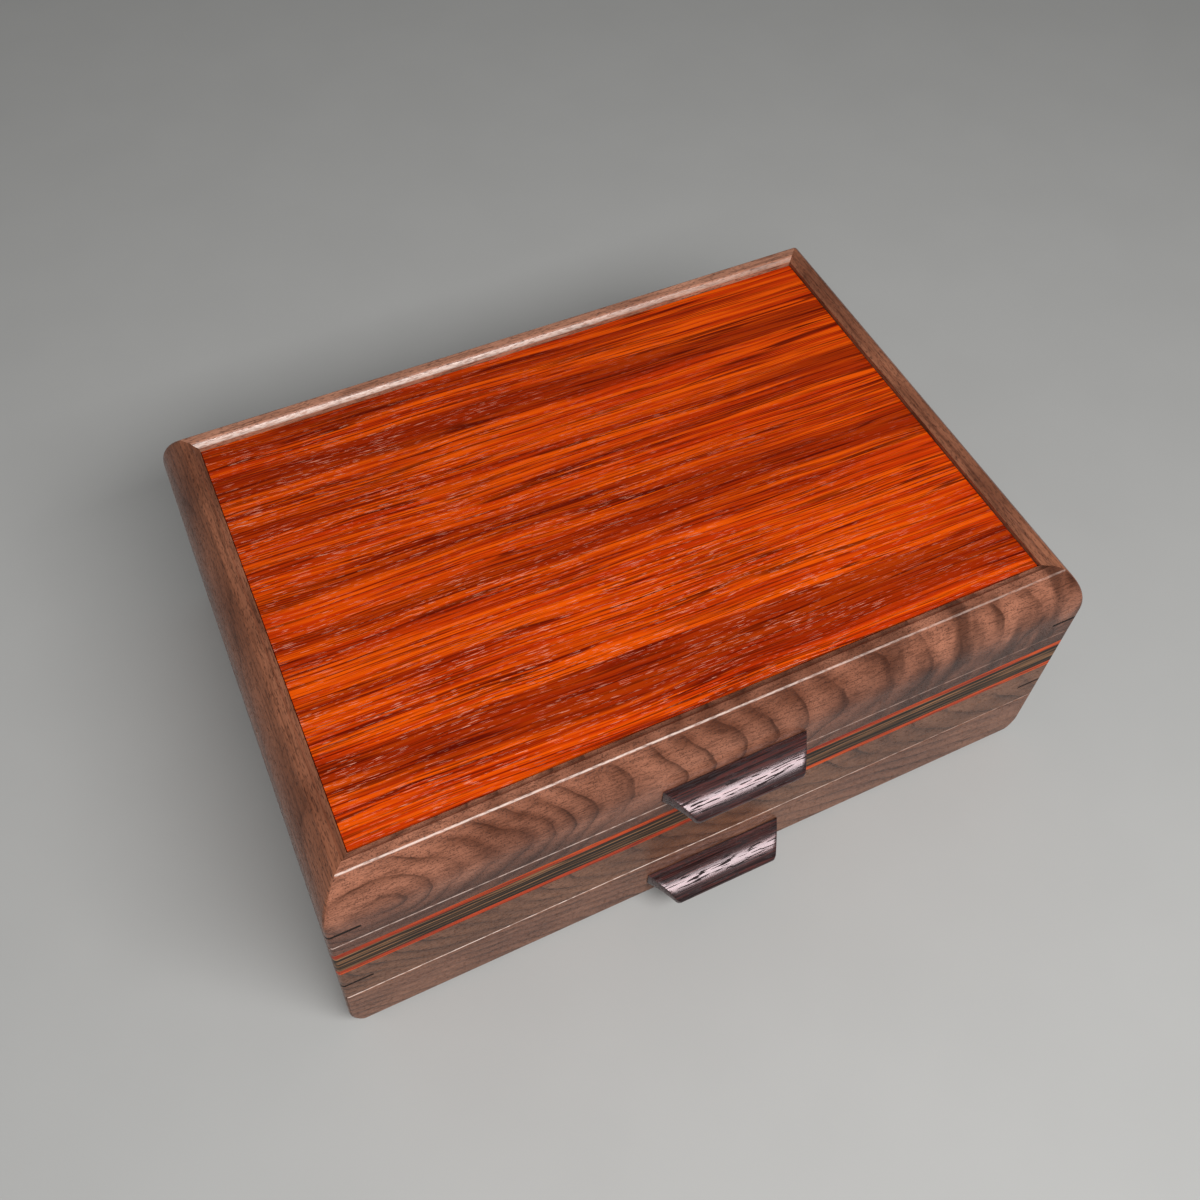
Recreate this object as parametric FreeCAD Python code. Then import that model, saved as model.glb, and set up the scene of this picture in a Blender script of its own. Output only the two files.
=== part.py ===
import FreeCAD, Part

import math
import os

from FreeCAD import Vector

# A hinged keepsake box in walnut, with a padauk panel framed in its lid, a laminated band of
# padauk and streaked bocote round the case, a lined tray, and a shallow drawer below it.
# X runs along the width, Y towards the back and Z up. The origin is the centre of the resting face.

# Overall sizes
box_width = 330.2
box_depth = 230.2
wall = 15.9
corner_radius = 1.8
base_radius = 5.5
end_round_height = 14.0
end_round_inset = 9.0
seam_radius = 0.7

# Layers of the case wall, from the table up
lower_board_height = 62.5
line_height = 3.5
core_height = 13.2
upper_strip_height = 7.6
drawer_bay_height = 36.2

# Lid frame
lid_height = 38.1
seam_gap = 0.25
lid_round_height = 21.9
lid_arris_inset = 9.3
lid_arris_radius = 0.8
lid_rim_width = 3.8
lid_cove_depth = 1.75
lid_cove_sag = 0.35
lid_seam_radius = 0.4

# Lid panel
panel_recess = 3.7
panel_thickness = 9.5
panel_gap = 0.4
tongue_depth = 3.0
tongue_thickness = 3.2
tongue_length = 5.0
tongue_room = 0.6
tongue_fit = 0.1

# Corner keys
key_face_length = 13.0
key_thickness = 1.7
lid_key_height = 10.3
case_key_drop = 41.0

# Pulls
pull_length = 63.5
pull_nose_length = 47.0
pull_reach = 14.4
pull_back_height = 8.4
pull_nose_drop = 1.9
pull_nose_radius = 1.35
pull_hollow = 1.5
pull_nose_corner = 3.0
pull_nose_margin = 0.001
lid_pull_height = 8.8
drawer_pull_drop = 17.5

# Tray
tray_floor_thickness = 5.1
tray_floor_groove = 5.0
tray_floor_rise = 3.2
lining_thickness = 1.6
lining_gap = 0.3
panel_fit = 0.1

# Base board
base_board_thickness = 5.5
base_rabbet = 5.0
base_board_front_gap = 0.8

# Drawer
drawer_table_gap = 0.6
drawer_top_gap = 0.5
drawer_top_radius = 1.5
drawer_end_gap = 0.3
drawer_side_gap = 0.6
drawer_floor_gap = 0.3
drawer_rear_gap = 1.0
drawer_side_thickness = 8.0
drawer_side_drop = 0.8
drawer_back_drop = 1.4
drawer_bottom_thickness = 3.5
drawer_bottom_lift = 3.2
drawer_bottom_groove = 4.0
front_dovetail_depth = 6.0
front_dovetail_root = 5.0
back_tail_count = 2
back_tail_flare = 1.2
drawer_travel = 150.0

# Drawer stop under the tray floor
stop_drop = 7.6
stop_depth = 8.0
stop_width = 40.0
stop_contact_gap = 0.4

# Stop hinges
hinge_offset = 98.0
hinge_length = 32.0
leaf_width = 11.0
leaf_thickness = 2.0
barrel_radius = 2.5
barrel_wall_gap = 0.2
knuckle_count = 3
knuckle_gap = 0.2
knuckle_clearance = 0.2
pin_radius = 1.1
pin_running_gap = 0.05
heel_reach = 2.6
heel_thickness = 2.0
opening_angle = 95.0
heel_stop_angle = 0.6
leaf_hole_count = 2
leaf_hole_radius = 1.1
leaf_hole_margin = 6.5

# Heights and half sizes worked out from the values above
half_width = box_width / 2
half_depth = box_depth / 2
inner_half_width = half_width - wall
inner_half_depth = half_depth - wall
lower_line_top = lower_board_height + line_height
core_top = lower_line_top + core_height
upper_line_top = core_top + line_height
case_top = upper_line_top + upper_strip_height
lid_bottom = case_top + seam_gap
lid_top = case_top + lid_height
panel_top = lid_top - panel_recess
tongue_top = panel_top - tongue_depth
tray_floor_bottom = drawer_bay_height + tray_floor_rise
tray_floor_top = tray_floor_bottom + tray_floor_thickness
drawer_front_top = drawer_bay_height - drawer_top_gap
drawer_side_bottom = base_board_thickness + drawer_floor_gap
drawer_side_top = drawer_front_top - drawer_side_drop
drawer_bottom_top = drawer_side_bottom + drawer_bottom_lift + drawer_bottom_thickness
drawer_back_top = drawer_side_top - drawer_back_drop
drawer_outer_half = inner_half_width - drawer_side_gap
drawer_inner_half = drawer_outer_half - drawer_side_thickness
drawer_front_back = -inner_half_depth
drawer_rear = inner_half_depth - drawer_rear_gap
drawer_back_face = drawer_rear - drawer_side_thickness
axis_y = half_depth + barrel_radius + barrel_wall_gap
axis_z = case_top + seam_gap / 2
margin = 5.0

WALLS = ("front", "back", "left", "right")


def block(x0, x1, y0, y1, z0, z1):
    """Return a box between two corners."""
    return Part.makeBox(x1 - x0, y1 - y0, z1 - z0, Vector(x0, y0, z0))


def prism(points, direction):
    """Return the solid swept by a closed outline of points along a direction."""
    wire = Part.makePolygon(points + [points[0]])
    return Part.Face(wire).extrude(direction)


def arc(start, middle, end):
    """Return an arc edge through three points."""
    return Part.Arc(start, middle, end).toShape()


def line(start, end):
    """Return a straight edge between two points."""
    return Part.makeLine(start, end)


def rod(radius, length, base, direction):
    """Return a cylinder."""
    return Part.makeCylinder(radius, length, base, direction)


def wall_outline(side, z):
    """Return the plan outline of one mitred wall at height z."""
    in_x = inner_half_width
    in_y = inner_half_depth
    corners = {
        "front": [(-half_width, -half_depth), (half_width, -half_depth), (in_x, -in_y), (-in_x, -in_y)],
        "back": [(half_width, half_depth), (-half_width, half_depth), (-in_x, in_y), (in_x, in_y)],
        "left": [(-half_width, half_depth), (-half_width, -half_depth), (-in_x, -in_y), (-in_x, in_y)],
        "right": [(half_width, -half_depth), (half_width, half_depth), (in_x, in_y), (in_x, -in_y)],
    }
    return [Vector(x, y, z) for x, y in corners[side]]


def corner_edges(shape, reach):
    """Return the edges of a shape that lie at its four corners in plan."""
    found = []
    for edge in shape.Edges:
        middle = edge.valueAt((edge.FirstParameter + edge.LastParameter) / 2)
        near_x = abs(middle.x) > half_width - reach
        near_y = abs(middle.y) > half_depth - reach
        if near_x and near_y:
            found.append(edge)
    return found


def level_edges(shape, z):
    """Return the straight edges of a shape that lie at height z."""
    found = []
    for edge in shape.Edges:
        ends = [vertex.Point.z for vertex in edge.Vertexes]
        if all(abs(value - z) < 0.001 for value in ends):
            found.append(edge)
    return found


def eased_block(top, top_radius):
    """Return the outer form of the box up to a height: its ends rounded below, its edges eased."""
    radius = (end_round_inset ** 2 + end_round_height ** 2) / (2 * end_round_inset)
    turn = math.asin(end_round_height / radius) / 2
    bulge = radius - radius * math.cos(turn)
    rise = end_round_height - radius * math.sin(turn)
    foot = half_width - end_round_inset

    def at(x, z):
        """Return a point of the outline on the front face."""
        return Vector(x, -half_depth, z)

    edges = [
        line(at(-foot, 0), at(foot, 0)),
        arc(at(foot, 0), at(half_width - bulge, rise), at(half_width, end_round_height)),
        line(at(half_width, end_round_height), at(half_width, top)),
        line(at(half_width, top), at(-half_width, top)),
        line(at(-half_width, top), at(-half_width, end_round_height)),
        arc(at(-half_width, end_round_height), at(-half_width + bulge, rise), at(-foot, 0)),
    ]
    solid = Part.Face(Part.Wire(edges)).extrude(Vector(0, box_depth, 0))
    low = [edge for edge in level_edges(solid, 0) if abs(edge.tangentAt(edge.FirstParameter).x) > 0.9]
    solid = solid.makeFillet(base_radius, low)
    solid = solid.makeFillet(corner_radius, corner_edges(solid, end_round_inset + corner_radius))
    return solid.makeFillet(top_radius, level_edges(solid, top))


def lid_round_outline(half, place):
    """Return the closed arched outline of the lid across one direction."""
    radius = (lid_arris_inset ** 2 + lid_round_height ** 2) / (2 * lid_arris_inset)
    start = lid_top - lid_round_height
    turn = math.asin(lid_round_height / radius) / 2
    bulge = radius - radius * math.cos(turn)
    rise = start + radius * math.sin(turn)
    low_right = place(half, lid_bottom)
    round_right = place(half, start)
    mid_right = place(half - bulge, rise)
    top_right = place(half - lid_arris_inset, lid_top)
    low_left = place(-half, lid_bottom)
    round_left = place(-half, start)
    mid_left = place(-half + bulge, rise)
    top_left = place(-half + lid_arris_inset, lid_top)
    edges = [
        line(low_left, low_right),
        line(low_right, round_right),
        arc(round_right, mid_right, top_right),
        line(top_right, top_left),
        arc(top_left, mid_left, round_left),
        line(round_left, low_left),
    ]
    return Part.Face(Part.Wire(edges))


def lid_envelope():
    """Return the outer form of the lid: two arched sections crossed, with softened ridges."""
    across = lid_round_outline(half_depth, lambda y, z: Vector(-half_width - margin, y, z))
    along = lid_round_outline(half_width, lambda x, z: Vector(x, -half_depth - margin, z))
    first = across.extrude(Vector(box_width + 2 * margin, 0, 0))
    second = along.extrude(Vector(0, box_depth + 2 * margin, 0))
    solid = first.common(second).removeSplitter()
    solid = solid.makeFillet(corner_radius, corner_edges(solid, lid_arris_inset))
    solid = solid.makeFillet(lid_seam_radius, level_edges(solid, lid_bottom))
    return solid.makeFillet(lid_arris_radius, level_edges(solid, lid_top))


def lid_void():
    """Return the space inside the lid frame: a straight shaft that opens into a cove below the rim."""
    shaft = block(-inner_half_width, inner_half_width, -inner_half_depth, inner_half_depth,
                  lid_bottom - margin, lid_top + margin)
    cove_width = wall - lid_arris_inset - lid_rim_width
    cove_slope = math.hypot(cove_width, lid_cove_depth)
    cove_bottom = lid_top - lid_cove_depth

    def cove(half, place):
        """Return the coved section across one direction."""
        foot = half - wall
        rim = foot + cove_width
        mid = (foot + rim) / 2 + lid_cove_sag * lid_cove_depth / cove_slope
        mid_z = (cove_bottom + lid_top) / 2 - lid_cove_sag * cove_width / cove_slope
        edges = [
            line(place(-foot, cove_bottom), place(foot, cove_bottom)),
            arc(place(foot, cove_bottom), place(mid, mid_z), place(rim, lid_top)),
            line(place(rim, lid_top), place(rim, lid_top + margin)),
            line(place(rim, lid_top + margin), place(-rim, lid_top + margin)),
            line(place(-rim, lid_top + margin), place(-rim, lid_top)),
            arc(place(-rim, lid_top), place(-mid, mid_z), place(-foot, cove_bottom)),
        ]
        return Part.Face(Part.Wire(edges))

    across = cove(half_depth, lambda y, z: Vector(-half_width, y, z)).extrude(Vector(box_width, 0, 0))
    along = cove(half_width, lambda x, z: Vector(x, -half_depth, z)).extrude(Vector(0, box_depth, 0))
    return shaft.fuse(across.common(along))


def panel_groove():
    """Return the groove that takes the tongue of the lid panel."""
    reach = tongue_length + tongue_room
    return block(-inner_half_width - reach, inner_half_width + reach,
                 -inner_half_depth - reach, inner_half_depth + reach,
                 tongue_top - tongue_thickness - tongue_fit, tongue_top + tongue_fit)


def corner_keys(z_middle, envelope):
    """Return the four thin keys let into the mitres at one height, trimmed to the outside."""
    keys = []
    z = z_middle - key_thickness / 2
    for sx in (-1, 1):
        for sy in (-1, 1):
            corner = Vector(sx * half_width, sy * half_depth, z)
            points = [
                corner,
                corner - Vector(sx * key_face_length, 0, 0),
                corner - Vector(0, sy * key_face_length, 0),
            ]
            key = prism(points, Vector(0, 0, key_thickness))
            keys.append(key.common(envelope))
    return keys


def spaced(count, reach):
    """Return places spread evenly from -reach to reach."""
    return [-reach + 2 * reach * number / (count - 1) for number in range(count)]


def leaf(x_middle, up):
    """Return one hinge leaf with its knuckles and its heel: the lid's with up 1, the case's with -1."""
    axis = Vector(x_middle - hinge_length / 2, axis_y, axis_z)
    x0 = x_middle - hinge_length / 2
    x1 = x_middle + hinge_length / 2
    pitch = hinge_length / knuckle_count
    seat = lid_bottom if up > 0 else case_top
    plate_low = min(seat, seat + up * leaf_thickness)
    plate = block(x0, x1, half_depth - leaf_width, axis_y, plate_low, plate_low + leaf_thickness)
    heel = heel_block(x0, x1, up)
    shape = plate.fuse(heel)
    own = []
    for number in range(knuckle_count):
        start = x0 + number * pitch
        mine = number % 2 == (1 if up > 0 else 0)
        low = start + (knuckle_gap / 2 if number else 0)
        high = start + pitch - (knuckle_gap / 2 if number < knuckle_count - 1 else 0)
        if mine:
            own.append(rod(barrel_radius, high - low, Vector(low, axis_y, axis_z), Vector(1, 0, 0)))
            own.append(knuckle_web(low, high, up))
        else:
            room = rod(barrel_radius + knuckle_clearance, pitch + knuckle_gap,
                       Vector(start - knuckle_gap / 2, axis_y, axis_z), Vector(1, 0, 0))
            shape = shape.cut(room)
    shape = shape.fuse(own)
    bore = pin_radius + (pin_running_gap if up > 0 else 0)
    shape = shape.cut(rod(bore, hinge_length, axis, Vector(1, 0, 0)))
    for x in spaced(leaf_hole_count, hinge_length / 2 - leaf_hole_margin):
        mouth = Vector(x_middle + x, half_depth - leaf_width / 2, plate_low)
        shape = shape.cut(rod(leaf_hole_radius, leaf_thickness, mouth, Vector(0, 0, 1)))
    return shape.removeSplitter()


def heel_block(x0, x1, up):
    """Return the bar behind the barrel that stops the lid when it stands open."""
    inner = barrel_radius + knuckle_clearance
    outer = barrel_radius + heel_reach
    if up < 0:
        return block(x0, x1, axis_y + inner, axis_y + outer, axis_z - heel_thickness, axis_z)
    lean = math.tan(math.radians(opening_angle - 90 + heel_stop_angle))
    points = [
        Vector(x0, axis_y - inner * lean, axis_z + inner),
        Vector(x0, axis_y - outer * lean, axis_z + outer),
        Vector(x0, axis_y - outer * lean - heel_thickness, axis_z + outer),
        Vector(x0, axis_y - inner * lean - heel_thickness, axis_z + inner),
    ]
    return prism(points, Vector(x1 - x0, 0, 0))


def knuckle_web(low, high, up):
    """Return the web that ties one knuckle to the heel bar of its leaf."""
    reach = barrel_radius + knuckle_clearance
    if up < 0:
        return block(low, high, axis_y, axis_y + reach, axis_z - heel_thickness, axis_z)
    lean = math.tan(math.radians(opening_angle - 90 + heel_stop_angle))
    points = [
        Vector(low, axis_y, axis_z),
        Vector(low, axis_y - reach * lean, axis_z + reach),
        Vector(low, axis_y - reach * lean - heel_thickness, axis_z + reach),
        Vector(low, axis_y - heel_thickness, axis_z),
    ]
    return prism(points, Vector(high - low, 0, 0))


def hinge_mortise(x_middle, up):
    """Return the pocket that lets one leaf in flush."""
    seat = lid_bottom if up > 0 else case_top
    low = min(seat, seat + up * leaf_thickness)
    x0 = x_middle - hinge_length / 2
    return block(x0, x0 + hinge_length, half_depth - leaf_width, half_depth + margin,
                 low, low + leaf_thickness)


def pull(z_middle):
    """Return a finger pull: a crowned lip, hollow below, narrowing from its back to its nose."""
    face = -half_depth
    half_back = pull_back_height / 2

    def at(reach, height):
        """Return a point of the section at the middle of the box."""
        return Vector(-pull_length / 2, face - reach, z_middle + height)

    nose_reach = pull_reach - pull_nose_radius
    crown_end = at(nose_reach, pull_nose_radius - pull_nose_drop)
    crown_drop = half_back - pull_nose_radius + pull_nose_drop
    crown_radius = (nose_reach ** 2 + crown_drop ** 2) / (2 * crown_drop)
    crown_turn = math.asin(nose_reach / crown_radius) / 2
    crown_middle = at(crown_radius * math.sin(crown_turn),
                      half_back - crown_radius * (1 - math.cos(crown_turn)))
    nose_bottom = at(nose_reach, -pull_nose_drop - pull_nose_radius)
    hollow_middle = at(nose_reach / 2,
                       (-half_back - pull_nose_drop - pull_nose_radius) / 2 + pull_hollow)
    edges = [
        line(at(0, -half_back), at(0, half_back)),
        arc(at(0, half_back), crown_middle, crown_end),
        arc(crown_end, at(pull_reach, -pull_nose_drop), nose_bottom),
        arc(nose_bottom, hollow_middle, at(0, -half_back)),
    ]
    section = Part.Face(Part.Wire(edges)).extrude(Vector(pull_length, 0, 0))
    low = z_middle - pull_back_height
    back = pull_length / 2
    nose = pull_nose_length / 2
    plan = prism([
        Vector(-back, face, low),
        Vector(back, face, low),
        Vector(nose, face - pull_reach - pull_nose_margin, low),
        Vector(-nose, face - pull_reach - pull_nose_margin, low),
    ], Vector(0, 0, 2 * pull_back_height))
    rounding = [edge for edge in plan.Edges
                if abs(edge.tangentAt(edge.FirstParameter).z) > 0.9
                and edge.CenterOfMass.y < face - pull_reach / 2]
    plan = plan.makeFillet(pull_nose_corner, rounding)
    return section.common(plan)


def lid_parts(envelope):
    """Return the named solids of the lid."""
    parts = {}
    keys = corner_keys(lid_bottom + lid_key_height, envelope)
    void = lid_void()
    groove = panel_groove()
    mortises = [hinge_mortise(side * hinge_offset, 1) for side in (-1, 1)]
    for side in WALLS:
        rail = prism(wall_outline(side, lid_bottom), Vector(0, 0, lid_height))
        rail = rail.common(envelope).cut([void, groove] + keys)
        if side == "back":
            rail = rail.cut(mortises)
        parts[f"lid_{side}_rail"] = rail
    parts["lid_corner_keys"] = Part.makeCompound(keys)
    parts["lid_panel"] = lid_panel()
    parts["lid_pull"] = pull(lid_bottom + lid_pull_height)
    return parts


def lid_panel():
    """Return the panel of the lid, with the tongue that floats in the frame's groove."""
    field_x = inner_half_width - panel_gap
    field_y = inner_half_depth - panel_gap
    field = block(-field_x, field_x, -field_y, field_y, panel_top - panel_thickness, panel_top)
    tongue = block(-inner_half_width - tongue_length, inner_half_width + tongue_length,
                   -inner_half_depth - tongue_length, inner_half_depth + tongue_length,
                   tongue_top - tongue_thickness, tongue_top)
    return field.fuse(tongue).removeSplitter()


def tray_floor():
    """Return the floor of the tray, which is let into the four walls."""
    reach = tray_floor_groove
    return block(-inner_half_width - reach, inner_half_width + reach,
                 -inner_half_depth - reach, inner_half_depth + reach,
                 tray_floor_bottom, tray_floor_top)


def base_board():
    """Return the base board, which lies in a rabbet of the sides and back."""
    reach = base_rabbet - panel_fit
    return block(-inner_half_width - reach, inner_half_width + reach,
                 -inner_half_depth + base_board_front_gap, inner_half_depth + reach,
                 0, base_board_thickness)


def case_parts(envelope):
    """Return the named solids of the case."""
    parts = {}
    keys = corner_keys(case_top - case_key_drop, envelope)
    floor = tray_floor()
    mortises = [hinge_mortise(side * hinge_offset, -1) for side in (-1, 1)]
    rabbet = block(-inner_half_width - base_rabbet, inner_half_width + base_rabbet,
                   -inner_half_depth + base_board_front_gap, inner_half_depth + base_rabbet,
                   -margin, base_board_thickness)
    layers = (
        ("lower_board", 0, lower_board_height),
        ("lower_line", lower_board_height, lower_line_top),
        ("core", lower_line_top, core_top),
        ("upper_line", core_top, upper_line_top),
        ("upper_strip", upper_line_top, case_top),
    )
    for side in WALLS:
        for name, z0, z1 in layers:
            if side == "front" and name == "lower_board":
                z0 = drawer_bay_height
            piece = prism(wall_outline(side, z0), Vector(0, 0, z1 - z0)).common(envelope)
            if name == "lower_board":
                piece = piece.cut([floor] + keys)
                if side != "front":
                    piece = piece.cut(rabbet)
            if side == "back":
                piece = piece.cut(mortises)
            parts[f"{side}_{name}"] = piece
    parts["case_corner_keys"] = Part.makeCompound(keys)
    parts["tray_floor"] = floor
    parts["tray_lining"] = block(-inner_half_width + lining_gap, inner_half_width - lining_gap,
                                 -inner_half_depth + lining_gap, inner_half_depth - lining_gap,
                                 tray_floor_top, tray_floor_top + lining_thickness)
    parts["base_board"] = base_board()
    stop_face = drawer_back_face - drawer_travel - stop_contact_gap
    parts["drawer_stop"] = block(-stop_width / 2, stop_width / 2, stop_face - stop_depth, stop_face,
                                 tray_floor_bottom - stop_drop, tray_floor_bottom)
    return parts


def hinge_parts():
    """Return the named solids of the two stop hinges and their pins."""
    parts = {}
    for name, side in (("left", -1), ("right", 1)):
        x = side * hinge_offset
        parts[f"{name}_hinge_case_leaf"] = leaf(x, -1)
        parts[f"{name}_hinge_lid_leaf"] = leaf(x, 1)
        pin_start = Vector(x - hinge_length / 2, axis_y, axis_z)
        parts[f"{name}_hinge_pin"] = rod(pin_radius, hinge_length, pin_start, Vector(1, 0, 0))
    return parts


def front_dovetail(side, z0, z1):
    """Return the tail by which a drawer side is let into the back of the drawer front."""
    middle = side * (drawer_outer_half - drawer_side_thickness / 2)
    root = front_dovetail_root / 2
    tip = drawer_side_thickness / 2
    y0 = drawer_front_back
    y1 = drawer_front_back - front_dovetail_depth
    points = [
        Vector(middle - root, y0, z0),
        Vector(middle - tip, y1, z0),
        Vector(middle + tip, y1, z0),
        Vector(middle + root, y0, z0),
    ]
    return prism(points, Vector(0, 0, z1 - z0))


def back_tails(side):
    """Return the tails at the rear end of a drawer side, which pass through the drawer back."""
    low = drawer_bottom_top
    pitch = (drawer_back_top - low) / back_tail_count
    x0 = side * drawer_inner_half
    tails = []
    for number in range(back_tail_count):
        bottom = low + pitch * number + pitch / 4
        top = bottom + pitch / 2
        points = [
            Vector(x0, drawer_back_face, bottom),
            Vector(x0, drawer_back_face, top),
            Vector(x0, drawer_rear, top + back_tail_flare),
            Vector(x0, drawer_rear, bottom - back_tail_flare),
        ]
        tails.append(prism(points, Vector(side * drawer_side_thickness, 0, 0)))
    return tails


def drawer_bottom():
    """Return the bottom of the drawer, in the grooves of its front and sides."""
    reach = drawer_bottom_groove
    return block(-drawer_inner_half - reach, drawer_inner_half + reach,
                 drawer_front_back - reach, drawer_rear,
                 drawer_bottom_top - drawer_bottom_thickness, drawer_bottom_top)


def drawer_front():
    """Return the drawer front, with mitred ends that meet the case sides."""
    gap = Vector(drawer_end_gap, 0, 0)
    outline = wall_outline("front", drawer_table_gap)
    outline = [outline[0] + gap, outline[1] - gap, outline[2] - gap, outline[3] + gap]
    board = prism(outline, Vector(0, 0, drawer_front_top - drawer_table_gap))
    return board.common(eased_block(drawer_front_top, drawer_top_radius))


def drawer_parts():
    """Return the named solids of the drawer."""
    bottom = drawer_bottom()
    front = drawer_front().cut(bottom)
    parts = {}
    for name, side in (("left", -1), ("right", 1)):
        x0, x1 = sorted((side * drawer_inner_half, side * drawer_outer_half))
        low = drawer_side_bottom
        board = block(x0, x1, drawer_front_back, drawer_back_face, low, drawer_side_top)
        foot = block(x0, x1, drawer_back_face, drawer_rear, low, drawer_bottom_top)
        tail = front_dovetail(side, low, drawer_side_top)
        socket = front_dovetail(side, low - margin, drawer_side_top)
        front = front.cut(socket)
        board = board.fuse([foot, tail] + back_tails(side)).cut(bottom)
        parts[f"drawer_{name}_side"] = board.removeSplitter()
    back = block(-drawer_outer_half, drawer_outer_half, drawer_back_face, drawer_rear,
                 drawer_bottom_top, drawer_back_top)
    parts["drawer_back"] = back.cut(back_tails(-1) + back_tails(1))
    parts["drawer_front"] = front
    parts["drawer_bottom"] = bottom
    parts["drawer_lining"] = block(-drawer_inner_half + lining_gap, drawer_inner_half - lining_gap,
                                   drawer_front_back + lining_gap, drawer_back_face - lining_gap,
                                   drawer_bottom_top, drawer_bottom_top + lining_thickness)
    parts["drawer_pull"] = pull(drawer_bay_height - drawer_pull_drop)
    return parts


def main():
    """Build every piece and write one file for each."""
    os.makedirs("parts", exist_ok=True)
    parts = {}
    parts.update(lid_parts(lid_envelope()))
    parts.update(case_parts(eased_block(case_top, seam_radius)))
    parts.update(hinge_parts())
    parts.update(drawer_parts())
    for name, shape in parts.items():
        shape.exportStep(f"parts/{name}.step")
        box = shape.BoundBox
        print(f"{name}: {len(shape.Solids)} solids, {shape.Volume:.0f} mm3, valid {shape.isValid()}, "
              f"z {box.ZMin:.2f} to {box.ZMax:.2f}")


main()
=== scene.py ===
import logging
import math
from dataclasses import astuple, dataclass
from enum import Enum
from typing import Sequence, Union

import bmesh
import bpy
from mathutils import Matrix, Vector


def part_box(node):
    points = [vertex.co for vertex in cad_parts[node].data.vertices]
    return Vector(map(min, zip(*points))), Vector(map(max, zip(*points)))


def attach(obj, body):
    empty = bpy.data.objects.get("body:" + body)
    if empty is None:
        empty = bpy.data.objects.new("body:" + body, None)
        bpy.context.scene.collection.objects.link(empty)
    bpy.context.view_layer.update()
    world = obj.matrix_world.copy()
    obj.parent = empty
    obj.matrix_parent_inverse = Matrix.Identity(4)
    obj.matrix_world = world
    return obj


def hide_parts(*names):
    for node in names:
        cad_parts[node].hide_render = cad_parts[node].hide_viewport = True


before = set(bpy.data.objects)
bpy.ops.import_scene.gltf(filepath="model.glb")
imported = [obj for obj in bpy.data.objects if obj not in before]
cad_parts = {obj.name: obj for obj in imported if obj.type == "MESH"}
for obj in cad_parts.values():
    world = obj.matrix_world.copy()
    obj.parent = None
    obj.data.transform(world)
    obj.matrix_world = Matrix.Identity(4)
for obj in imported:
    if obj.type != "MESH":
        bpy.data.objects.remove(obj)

MM = 0.001
# Places of the colour sockets in the Mix node's lists.
MIX_SHARE, MIX_FIRST, MIX_SECOND, MIX_RESULT = 0, 6, 7, 2
Socket = bpy.types.NodeSocket
Value = Union[float, Sequence[float], Socket]
Point = tuple[float, float, float]

logging.basicConfig(level=logging.INFO, format="%(name)s: %(message)s")
log = logging.getLogger("keepsake_box")


class Grain(Enum):
    """The way the boards of a piece run: the turn that lays their length along the pattern's X."""

    ALONG_WIDTH = 0.0
    ALONG_DEPTH = -90.0


class Slot(Enum):
    """The material slots for the pieces that are made here."""

    DARK = "dark_wood"
    SUEDE = "suede_lining"
    BRASS = "brass"


class Body(Enum):
    """The bodies that move with the joints."""

    CASE = "case"
    LID = "lid"
    DRAWER = "drawer"


@dataclass(frozen=True)
class Tint:
    """A colour as a painter writes it, in steps of 0 to 255."""

    red: int
    green: int
    blue: int

    @staticmethod
    def light(step: int) -> float:
        """Return one channel as light."""
        share = step / 255
        return share / 12.92 if share <= 0.04045 else ((share + 0.055) / 1.055) ** 2.4

    def linear(self) -> tuple[float, float, float, float]:
        """Return the colour as light."""
        return self.light(self.red), self.light(self.green), self.light(self.blue), 1.0


def add_node(tree: bpy.types.NodeTree, kind: str, inputs: dict[Union[str, int], object],
             settings: dict[str, object]) -> bpy.types.Node:
    """Add a node to a tree.

    Args:
        tree: The tree of a material or a shape.
        kind: Blender's name for the node.
        inputs: A value or a socket for each input.
        settings: The node's own properties.

    Returns:
        The node.
    """
    node = tree.nodes.new(kind)
    for key, value in settings.items():
        setattr(node, key, value)
    for key, value in inputs.items():
        if isinstance(value, Socket):
            tree.links.new(value, node.inputs[key])
        else:
            node.inputs[key].default_value = value
    return node


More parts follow.
